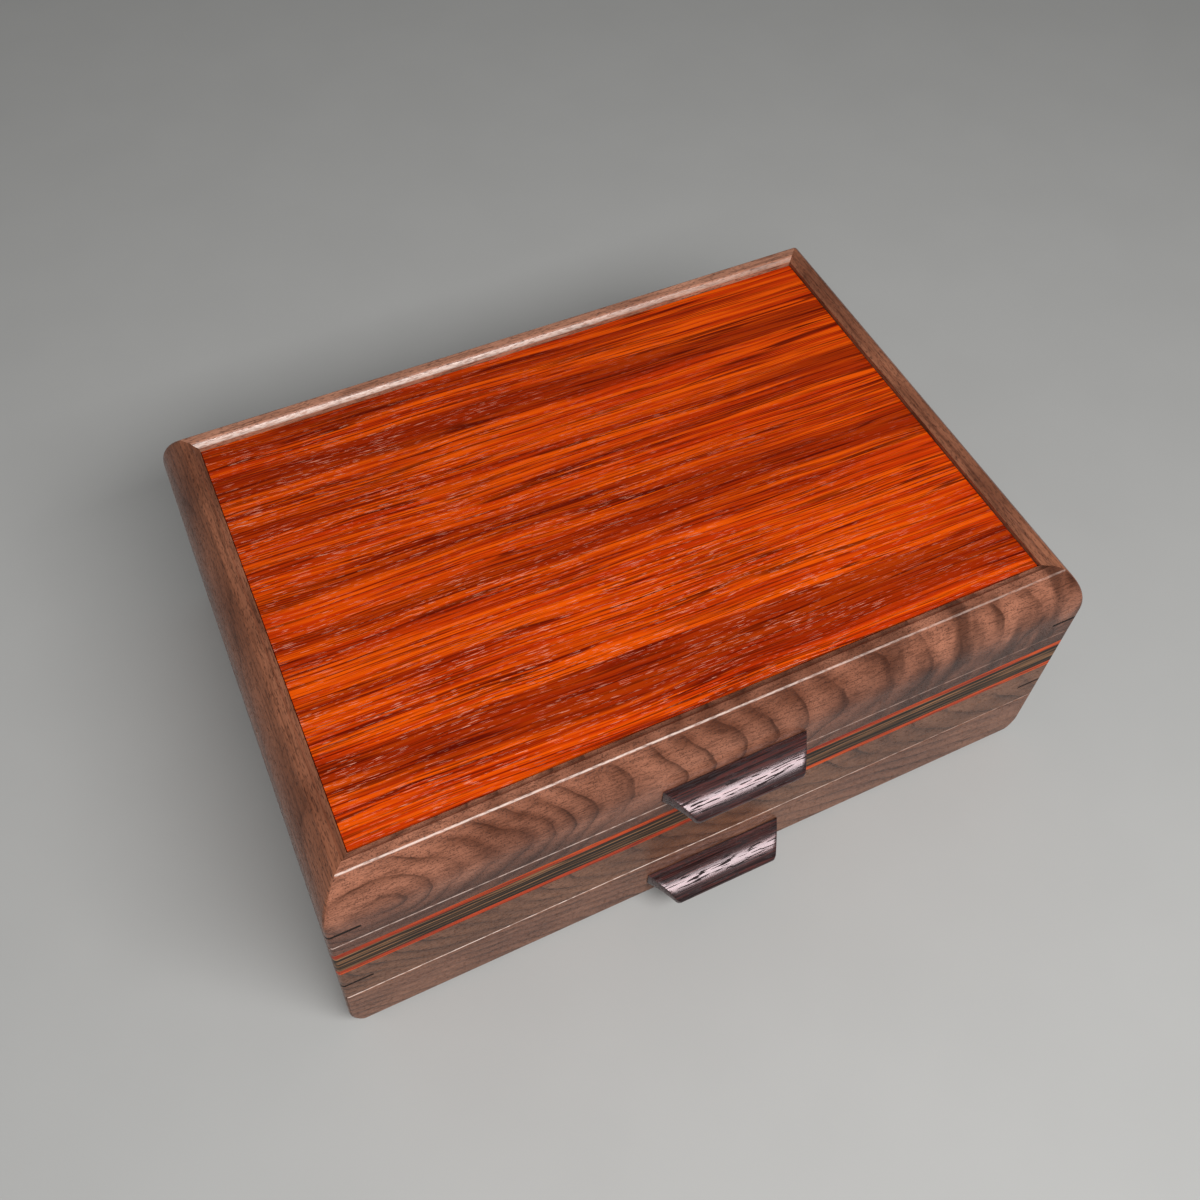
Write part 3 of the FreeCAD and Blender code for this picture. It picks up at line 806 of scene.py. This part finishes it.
@dataclass
class FingerPull:
    """A crowned lip, hollow below, that narrows from its back to its nose. Sizes in millimetres."""

    name: str
    node: str
    body: Body
    middle: float
    back_length: float = 63.5
    nose_length: float = 47.0
    reach: float = 14.4
    back_height: float = 8.4
    nose_drop: float = 1.9
    nose_radius: float = 1.35
    hollow: float = 1.5
    corner: float = 3.0
    face: float = -115.1
    edge: float = 0.3
    edge_steps: int = 3
    edge_angle: float = 40.0
    stations: int = 24
    steps: int = 30

    def arc_height(self, reach: float, start: float, end: float, sag: float) -> float:
        """Return the height of an arc over the reach from the back to the nose.

        Args:
            reach: How far out the point is.
            start: The height at the back.
            end: The height at the nose's edge.
            sag: How far the arc's middle stands above its chord.

        Returns:
            The height.
        """
        share = reach / (self.reach - self.nose_radius)
        return start + (end - start) * share + 4 * sag * share * (1 - share)

    def crown_radius(self) -> float:
        """Return the radius of the crown, which runs into the nose without a step.

        Returns:
            The radius.
        """
        run = self.reach - self.nose_radius
        fall = self.back_height / 2 + self.nose_drop
        return (run ** 2 + fall ** 2 - self.nose_radius ** 2) / (2 * (fall - self.nose_radius))

    def crown(self, reach: float) -> float:
        """Return the height at a reach of the crown, which is level at the back."""
        radius = self.crown_radius()
        return self.back_height / 2 - radius + math.sqrt(radius ** 2 - reach ** 2)

    def half_width(self, reach: float) -> float:
        """Return half the pull's length at a reach, with its nose corners rounded.

        Args:
            reach: How far out the point is.

        Returns:
            Half the length.
        """
        slant = (self.back_length - self.nose_length) / 2 / self.reach
        lean = math.sqrt(1 + slant ** 2)
        centre_reach = self.reach - self.corner
        centre = self.back_length / 2 - slant * centre_reach - self.corner * lean
        if reach <= centre_reach + self.corner * slant / lean:
            return self.back_length / 2 - slant * reach
        return centre + math.sqrt(max(self.corner ** 2 - (reach - centre_reach) ** 2, 0.0))

    def levels(self, reach: float) -> tuple[float, float]:
        """Return the heights of the top and the underside at a reach.

        Args:
            reach: How far out the point is.

        Returns:
            The two heights.
        """
        run = self.reach - self.nose_radius
        bend = math.sqrt(max(self.nose_radius ** 2 - max(reach - run, 0.0) ** 2, 0.0))
        top, under = -self.nose_drop + bend, -self.nose_drop - bend
        radius = self.crown_radius()
        if reach <= run * radius / (radius - self.nose_radius):
            top = self.crown(reach)
        if reach <= run:
            under = self.arc_height(reach, -self.back_height / 2, under, self.hollow)
        return top, under

    def build(self, material: bpy.types.Material) -> bpy.types.Object:
        """Return the pull's mesh as an object.

        Args:
            material: The pull's wood.

        Returns:
            The object.
        """
        bm = bmesh.new()
        rows: list[list[tuple[bmesh.types.BMVert, ...]]] = []
        for step in range(self.steps + 1):
            reach = self.reach * math.sin(math.pi / 2 * step / self.steps)
            half = self.half_width(reach)
            y = self.face - reach
            row = []
            for station in range(self.stations + 1):
                x = -half + 2 * half * station / self.stations
                heights = [self.middle + level for level in self.levels(reach)]
                row.append(tuple(bm.verts.new((x * MM, y * MM, z * MM)) for z in heights))
            rows.append(row)
        for near, far in zip(rows, rows[1:]):
            for left in range(self.stations):
                bm.faces.new([near[left][0], near[left + 1][0], far[left + 1][0], far[left][0]])
                bm.faces.new([near[left][1], far[left][1], far[left + 1][1], near[left + 1][1]])
            for end in (0, self.stations):
                bm.faces.new([near[end][0], far[end][0], far[end][1], near[end][1]])
        back = rows[0]
        for left in range(self.stations):
            bm.faces.new([back[left][0], back[left][1], back[left + 1][1], back[left + 1][0]])
        for face in bm.faces:
            face.smooth = True
        return solid_from(self.name, bm, material)

    def make(self, workshop: Workshop) -> None:
        """Build the pull, ease its edges and put it in place.

        Args:
            workshop: The materials.
        """
        piece = self.build(workshop.wenge)
        ease = piece.modifiers.new("eased", "BEVEL")
        ease.width, ease.segments = self.edge * MM, self.edge_steps
        ease.limit_method, ease.angle_limit = "ANGLE", math.radians(self.edge_angle)
        place(piece, self.body, Slot.DARK, self.node)


@dataclass
class SuedePad:
    """A thin padded lining with rolled edges. Sizes in millimetres."""

    name: str
    node: str
    body: Body
    columns: int = 96
    rows: int = 64
    roll: float = 1.4
    crown: float = 0.25
    seam: float = 0.25

    def levels(self, x: float, y: float, half: Vector, thick: float) -> tuple[float, float]:
        """Return the heights of the pad's top and underside over its lowest point.

        Args:
            x: The place across the pad, from its middle.
            y: The place along the pad, from its middle.
            half: Half the pad's width and depth.
            thick: The pad's thickness.

        Returns:
            The two heights.
        """
        share = min(min(half.x - abs(x), half.y - abs(y)) / self.roll, 1.0)
        rise = math.sqrt(max(1 - (1 - share) ** 2, 0.0))
        swell = 1 - self.crown / thick * (1 - (1 - (x / half.x) ** 4) * (1 - (y / half.y) ** 4))
        top = thick * (self.seam + (1 - self.seam) * rise * swell)
        return top, thick * self.seam * (1 - rise)

    def build(self, material: bpy.types.Material) -> bpy.types.Object:
        """Return the pad's mesh as an object, inside its CAD node's box.

        Args:
            material: The pad's cover.

        Returns:
            The object.
        """
        low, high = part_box(self.node)
        low, high = low / MM, high / MM
        half, centre = (high - low) / 2, (high + low) / 2
        bm = bmesh.new()
        grid = []
        for row in range(self.rows + 1):
            y = half.y * math.sin(math.pi * (row / self.rows - 0.5))
            line = []
            for column in range(self.columns + 1):
                x = half.x * math.sin(math.pi * (column / self.columns - 0.5))
                corner = Vector((centre.x + x, centre.y + y, low.z)) * MM
                levels = self.levels(x, y, half, high.z - low.z)
                line.append(tuple(bm.verts.new(corner + Vector((0.0, 0.0, z * MM))) for z in levels))
            grid.append(line)
        for below, above in zip(grid, grid[1:]):
            for left in range(self.columns):
                corners = [below[left], below[left + 1], above[left + 1], above[left]]
                bm.faces.new([corner[0] for corner in corners])
                bm.faces.new([corner[1] for corner in corners[::-1]])
        for face in bm.faces:
            face.smooth = True
        return solid_from(self.name, bm, material)

    def make(self, workshop: Workshop) -> None:
        """Build the pad and put it in place.

        Args:
            workshop: The materials.
        """
        piece = self.build(workshop.suede)
        place(piece, self.body, Slot.SUEDE, self.node)


@dataclass(frozen=True)
class ScrewSizes:
    """A slotted countersunk screw, in the order of the tree's lengths. Sizes in millimetres."""

    head_radius: float = 2.05
    head_depth: float = 0.95
    shank_radius: float = 1.0
    shank_length: float = 4.0
    slot_width: float = 0.5
    slot_depth: float = 0.5


class ScrewDriver:
    """A Geometry Nodes tree that sets a slotted countersunk screw on every point."""

    HEAD_SIDES = 40
    SHANK_SIDES = 24
    SLOT_OVER = 2.4
    MOST_TILT = 0.9
    LENGTHS = ("Head Radius", "Head Depth", "Shank Radius", "Shank Length", "Slot Width", "Slot Depth")

    def __init__(self, sizes: ScrewSizes, material: bpy.types.Material) -> None:
        """Lay out the tree.

        Args:
            sizes: The screw's sizes.
            material: The screw's metal.
        """
        self.tree = bpy.data.node_groups.new("countersunk_screws", "GeometryNodeTree")
        self.sizes = sizes
        self.sockets: dict[str, str] = {}
        self.tree.interface.new_socket("Geometry", in_out="INPUT", socket_type="NodeSocketGeometry")
        self.tree.interface.new_socket("Geometry", in_out="OUTPUT", socket_type="NodeSocketGeometry")
        for name in (*self.LENGTHS, "Facing", "Tilt"):
            self.add_input(name, "NodeSocketFloat")
        self.add_input("Seed", "NodeSocketInt")
        self.given = self.tree.nodes.new("NodeGroupInput").outputs
        turned = self.node("GeometryNodeInstanceOnPoints", {
            "Points": self.given["Geometry"], "Instance": self.screw(), "Rotation": self.turn()})
        real = self.node("GeometryNodeRealizeInstances", {"Geometry": turned.outputs[0]}).outputs[0]
        dressed = self.node("GeometryNodeSetMaterial", {"Geometry": real, "Material": material})
        self.node("NodeGroupOutput", {"Geometry": dressed.outputs[0]})

    def add_input(self, name: str, kind: str) -> None:
        """Add a named input and note its identifier."""
        socket = self.tree.interface.new_socket(name, in_out="INPUT", socket_type=kind)
        self.sockets[name] = socket.identifier

    def node(self, kind: str, inputs: dict[Union[str, int], object], **settings: object) -> bpy.types.Node:
        """Add a node to the tree."""
        return add_node(self.tree, kind, inputs, settings)

    def sum(self, operation: str, first: Value, second: Value) -> Socket:
        """Return the result of a sum on two values."""
        return self.node("ShaderNodeMath", {0: first, 1: second}, operation=operation).outputs[0]

    def moved(self, shape: Socket, height: Socket) -> Socket:
        """Return a shape moved up to a height."""
        place = self.node("ShaderNodeCombineXYZ", {"Z": height}).outputs[0]
        return self.node("GeometryNodeTransform", {"Geometry": shape, "Translation": place}).outputs[0]

    def screw(self) -> Socket:
        """Return one screw that stands head up, with its face at height 0.

        Returns:
            The screw's socket.
        """
        given = self.given
        cone = self.node("GeometryNodeMeshCone", {
            "Vertices": self.HEAD_SIDES, "Radius Top": given["Head Radius"],
            "Radius Bottom": given["Shank Radius"], "Depth": given["Head Depth"]}).outputs["Mesh"]
        head = self.moved(cone, self.sum("MULTIPLY", given["Head Depth"], -1.0))
        size = self.node("ShaderNodeCombineXYZ", {
            "X": self.sum("MULTIPLY", given["Head Radius"], self.SLOT_OVER), "Y": given["Slot Width"],
            "Z": self.sum("MULTIPLY", given["Slot Depth"], 2.0)}).outputs[0]
        slot = self.node("GeometryNodeMeshCube", {"Size": size}).outputs["Mesh"]
        slotted = self.node("GeometryNodeMeshBoolean", {"Mesh 1": head}, operation="DIFFERENCE")
        self.tree.links.new(slot, slotted.inputs["Mesh 2"])
        shank = self.node("GeometryNodeMeshCylinder", {
            "Vertices": self.SHANK_SIDES, "Radius": given["Shank Radius"],
            "Depth": given["Shank Length"]}).outputs["Mesh"]
        middle = self.sum("ADD", given["Head Depth"], self.sum("MULTIPLY", given["Shank Length"], 0.5))
        joined = self.node("GeometryNodeJoinGeometry", {})
        for part in (slotted.outputs[0], self.moved(shank, self.sum("MULTIPLY", middle, -1.0))):
            self.tree.links.new(part, joined.inputs[0])
        return joined.outputs[0]

    def turn(self) -> Socket:
        """Return each screw's turn: its slot at random, its head up or down.

        Returns:
            The turn's socket.
        """
        given = self.given
        slot = self.node("FunctionNodeRandomValue", {"Seed": given["Seed"]}, data_type="FLOAT")
        low = self.sum("MULTIPLY", given["Tilt"], -1.0)
        self.tree.links.new(low, slot.inputs[2])
        self.tree.links.new(given["Tilt"], slot.inputs[3])
        angles = self.node("ShaderNodeCombineXYZ", {"X": given["Facing"], "Z": slot.outputs[1]})
        return self.node("FunctionNodeEulerToRotation", {"Euler": angles.outputs[0]}).outputs[0]

    def drive(self, name: str, points: Sequence[Point], facing: int, seed: int) -> bpy.types.Object:
        """Return screws set on points as one plain mesh.

        Args:
            name: The piece's name.
            points: The middle of each screw's face, in millimetres.
            facing: 1 for heads up, -1 for heads down.
            seed: The seed of the slots' turns.

        Returns:
            The object.
        """
        holes = bpy.data.meshes.new(name)
        holes.from_pydata([tuple(part * MM for part in point) for point in points], [], [])
        piece = bpy.data.objects.new(name, holes)
        bpy.context.scene.collection.objects.link(piece)
        values = {label: length * MM for label, length in zip(self.LENGTHS, astuple(self.sizes))}
        values |= {"Facing": 0.0 if facing > 0 else math.pi, "Tilt": self.MOST_TILT, "Seed": seed}
        modifier = piece.modifiers.new("screws", "NODES")
        modifier.node_group = self.tree
        for label, value in values.items():
            modifier[self.sockets[label]] = value
        return made_plain(piece)


def made_plain(piece: bpy.types.Object) -> bpy.types.Object:
    """Turn an object's evaluated shape into its own plain mesh.

    Args:
        piece: An object with modifiers, which are removed.

    Returns:
        The same object.
    """
    seen = piece.evaluated_get(bpy.context.evaluated_depsgraph_get())
    mesh = bpy.data.meshes.new_from_object(seen)
    piece.modifiers.clear()
    piece.data = mesh
    return piece


@dataclass
class HingeFitting:
    """The two brass leaves of a body, countersunk, and the screws that hold them.

    Sizes are in millimetres. The face is the height of the leaves' outer side, which faces up for 1
    and down for -1.
    """

    body: Body
    face: float
    facing: int
    hinge_middle: float = 98.0
    hole_offset: float = 9.5
    hole_depth: float = 109.6
    clearance: float = 0.06
    overcut: float = 0.2
    sunk: float = 0.05
    sides: int = 48
    seed: int = 7
    screw: ScrewSizes = ScrewSizes()

    def holes(self, side: int) -> list[Point]:
        """Return the middle of each hole of one leaf, on its face.

        Args:
            side: -1 for the left leaf, 1 for the right leaf.

        Returns:
            The points.
        """
        middle = side * self.hinge_middle
        ends = (middle - self.hole_offset, middle + self.hole_offset)
        return [(x, self.hole_depth, self.face) for x in ends]

    def cutter(self, side: int) -> bpy.types.Object:
        """Return the cones that cut a leaf's countersinks.

        Args:
            side: -1 for the left leaf, 1 for the right leaf.

        Returns:
            The object.
        """
        bm = bmesh.new()
        widest = self.screw.head_radius + self.clearance
        slant = (widest - self.screw.shank_radius) / self.screw.head_depth
        length = self.screw.head_depth + self.overcut
        ends = (self.screw.shank_radius, widest + slant * self.overcut)
        low, high = ends if self.facing > 0 else ends[::-1]
        for x, y, z in self.holes(side):
            middle = z + self.facing * (self.overcut - length / 2)
            place = Matrix.Translation((x * MM, y * MM, middle * MM))
            bmesh.ops.create_cone(bm, cap_ends=True, segments=self.sides, radius1=low * MM,
                                  radius2=high * MM, depth=length * MM, matrix=place)
        mesh = bpy.data.meshes.new("countersinks")
        bm.to_mesh(mesh)
        bm.free()
        return bpy.data.objects.new("countersinks", mesh)

    def leaf(self, name: str, node: str, side: int, material: bpy.types.Material) -> bpy.types.Object:
        """Return a leaf with its countersinks cut.

        Args:
            name: The piece's name.
            node: The CAD leaf that it copies.
            side: -1 for the left leaf, 1 for the right leaf.
            material: The leaf's metal.

        Returns:
            The object.
        """
        bm = bmesh.new()
        bm.from_mesh(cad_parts[node].data)
        bmesh.ops.remove_doubles(bm, verts=bm.verts, dist=1e-6)
        bmesh.ops.dissolve_limit(bm, angle_limit=math.radians(0.2), verts=bm.verts, edges=bm.edges)
        piece = solid_from(name, bm, material)
        cutter = self.cutter(side)
        bpy.context.scene.collection.objects.link(cutter)
        cut = piece.modifiers.new("countersunk", "BOOLEAN")
        cut.operation, cut.solver, cut.object = "DIFFERENCE", "EXACT", cutter
        made_plain(piece)
        bpy.data.objects.remove(cutter)
        return piece

    def make(self, workshop: Workshop) -> None:
        """Cut and place both leaves, and drive their screws.

        Args:
            workshop: The materials.
        """
        body = self.body.value
        points: list[Point] = []
        for label, side in (("left", -1), ("right", 1)):
            node = f"{label}_hinge_{body}_leaf"
            piece = self.leaf(f"{label}_{body}_brass_leaf", node, side, workshop.brass)
            place(piece, self.body, Slot.BRASS, node)
            points += [(x, y, z - self.facing * self.sunk) for x, y, z in self.holes(side)]
        driver = ScrewDriver(self.screw, workshop.brass)
        screws = driver.drive(f"{body}_hinge_screws", points, self.facing, self.seed + self.facing)
        place(screws, self.body, Slot.BRASS)


@dataclass
class Case:
    """The fixed case: five glued layers on each of four walls, keys, floors and stop."""

    layers: tuple[str, ...] = ("lower_board", "lower_line", "core", "upper_line", "upper_strip")
    leaf_face: float = 90.3

    def make(self, workshop: Workshop) -> None:
        """Dress the walls, the keys, the floors and the pins, lay the lining and screw on the leaves.

        Args:
            workshop: The materials.
        """
        across = {
            "lower_board": workshop.lower_front, "lower_line": workshop.line_width,
            "core": workshop.core_width, "upper_line": workshop.line_width,
            "upper_strip": workshop.lid_front,
        }
        deep = {
            "lower_board": workshop.lower_side, "lower_line": workshop.line_depth,
            "core": workshop.core_depth, "upper_line": workshop.line_depth,
            "upper_strip": workshop.side,
        }
        for layer in self.layers:
            finish_node(f"front_{layer}", across[layer])
            # The back strip takes the lighter back walnut, which carries painted highlight.
            finish_node(f"back_{layer}", workshop.back if layer == "upper_strip" else across[layer])
            finish_node(f"left_{layer}", deep[layer])
            finish_node(f"right_{layer}", deep[layer])
        finish_node("case_corner_keys", workshop.key)
        finish_node("tray_floor", workshop.sheet)
        finish_node("base_board", workshop.sheet)
        finish_node("drawer_stop", workshop.pale_width)
        for side in ("left", "right"):
            finish_node(f"{side}_hinge_pin", workshop.brass)
        HingeFitting(Body.CASE, self.leaf_face, 1).make(workshop)
        SuedePad("tray_suede", "tray_lining", Body.CASE).make(workshop)


@dataclass
class Lid:
    """The lid: four mitred rails, keys, the padauk panel and a pull."""

    pull_middle: float = 99.35
    leaf_face: float = 90.55

    def make(self, workshop: Workshop) -> None:
        """Dress the rails, the keys and the panel, screw on the leaves and make the pull.

        Args:
            workshop: The materials.
        """
        finish_node("lid_front_rail", workshop.lid_front)
        finish_node("lid_back_rail", workshop.back)
        finish_node("lid_left_rail", workshop.side)
        finish_node("lid_right_rail", workshop.side)
        finish_node("lid_corner_keys", workshop.key)
        finish_node("lid_panel", workshop.panel)
        HingeFitting(Body.LID, self.leaf_face, -1).make(workshop)
        FingerPull("lid_finger_pull", "lid_pull", Body.LID, self.pull_middle).make(workshop)


@dataclass
class Drawer:
    """The drawer: a walnut front, pale sides and back, a sheet bottom, a lining and a pull."""

    pull_middle: float = 18.7

    def make(self, workshop: Workshop) -> None:
        """Dress the boards, lay the lining and make the pull.

        Args:
            workshop: The materials.
        """
        finish_node("drawer_front", workshop.drawer_front)
        finish_node("drawer_left_side", workshop.pale_depth)
        finish_node("drawer_right_side", workshop.pale_depth)
        finish_node("drawer_back", workshop.pale_width)
        finish_node("drawer_bottom", workshop.sheet)
        SuedePad("drawer_suede", "drawer_lining", Body.DRAWER).make(workshop)
        FingerPull("drawer_finger_pull", "drawer_pull", Body.DRAWER, self.pull_middle).make(workshop)


@dataclass(frozen=True)
class SoftBox:
    """A rectangular soft light that faces the middle of the box. Sizes in metres and watts."""

    name: str
    way: Point
    distance: float
    width: float
    height: float
    power: float
    middle: Point = (0.0, 0.0, 0.1)

    def hang(self) -> None:
        """Put the light in its place."""
        lamp = bpy.data.lights.new(self.name, "AREA")
        lamp.shape, lamp.size, lamp.size_y = "RECTANGLE", self.width, self.height
        lamp.energy = self.power
        holder = bpy.data.objects.new(self.name, lamp)
        way = Vector(self.way).normalized()
        holder.location = way * self.distance + Vector(self.middle)
        holder.rotation_euler = way.to_track_quat("Z", "Y").to_euler()
        bpy.context.scene.collection.objects.link(holder)


@dataclass
class Studio:
    """The pale floor, the soft lights and the camera, whose axes are those solved for the photograph."""

    boxes: tuple[SoftBox, ...] = (
        SoftBox("front_softbox", (0.04, -0.62, 0.785), 1.0, 0.9, 0.32, 10.5),
        SoftBox("left_fill", (-0.95, 0.1, 0.35), 1.6, 1.0, 0.8, 2.5),
    )
    floor_tint: Tint = Tint(186, 186, 184)
    floor_size: float = 8.0
    cloud: float = 60.0
    cloud_dark: float = 0.97
    camera_place: Point = (-0.167214, -0.294301, 0.573925)
    right: Point = (0.910793, -0.412649, 0.013301)
    down: Point = (-0.307001, -0.698444, -0.646472)
    forward: Point = (0.276056, 0.584719, -0.762822)
    lens: float = 39.77
    shift: tuple[float, float] = (0.0429, -0.1428)
    fill: float = 0.18

    def floor(self) -> None:
        """Lay the pale floor."""
        bm = bmesh.new()
        bmesh.ops.create_grid(bm, x_segments=2, y_segments=2, size=self.floor_size / 2)
        recipe = Recipe("pale_floor")
        space = recipe.grain_space(Grain.ALONG_WIDTH)
        clouds = recipe.patches(space, (self.cloud, self.cloud, self.cloud), 0.2, 0.8, detail=4.0)
        tint = self.floor_tint.linear()
        dimmer = tuple(self.cloud_dark * part for part in tint[:3]) + (1.0,)
        material = recipe.surface(Base_Color=recipe.mixed(clouds, dimmer, tint), Roughness=0.7,
                                  Specular_IOR_Level=0.2)
        solid_from("floor", bm, material)

    def lights(self) -> None:
        """Hang the soft boxes and light the room evenly."""
        for box in self.boxes:
            box.hang()
        world = bpy.data.worlds.new("even_room")
        world.use_nodes = True
        background = world.node_tree.nodes["Background"]
        background.inputs["Color"].default_value = (1.0, 1.0, 1.0, 1.0)
        background.inputs["Strength"].default_value = self.fill
        bpy.context.scene.world = world

    def camera(self) -> None:
        """Stand the camera where the photograph was taken."""
        lens = bpy.data.cameras.new("photograph")
        lens.lens, lens.sensor_width, lens.sensor_fit = self.lens, 36.0, "HORIZONTAL"
        lens.shift_x, lens.shift_y = self.shift
        lens.clip_start, lens.clip_end = 0.01, 50.0
        holder = bpy.data.objects.new("photograph", lens)
        axes = (Vector(self.right), -Vector(self.down), -Vector(self.forward))
        turn = Matrix([[axis[row] for axis in axes] for row in range(3)]).to_4x4()
        holder.matrix_world = Matrix.Translation(self.camera_place) @ turn
        bpy.context.scene.collection.objects.link(holder)
        bpy.context.scene.camera = holder

    def make(self) -> None:
        """Set up the floor, the lights, the camera and the plain view."""
        self.floor()
        self.lights()
        self.camera()
        bpy.context.scene.view_settings.view_transform = "Standard"


def main() -> None:
    """Build the stage and each sub-assembly."""
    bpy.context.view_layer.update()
    Studio().make()
    workshop = Workshop()
    for assembly in (Case(), Lid(), Drawer()):
        log.info("building %s", type(assembly).__name__)
        assembly.make(workshop)


if __name__ == "__main__":
    main()
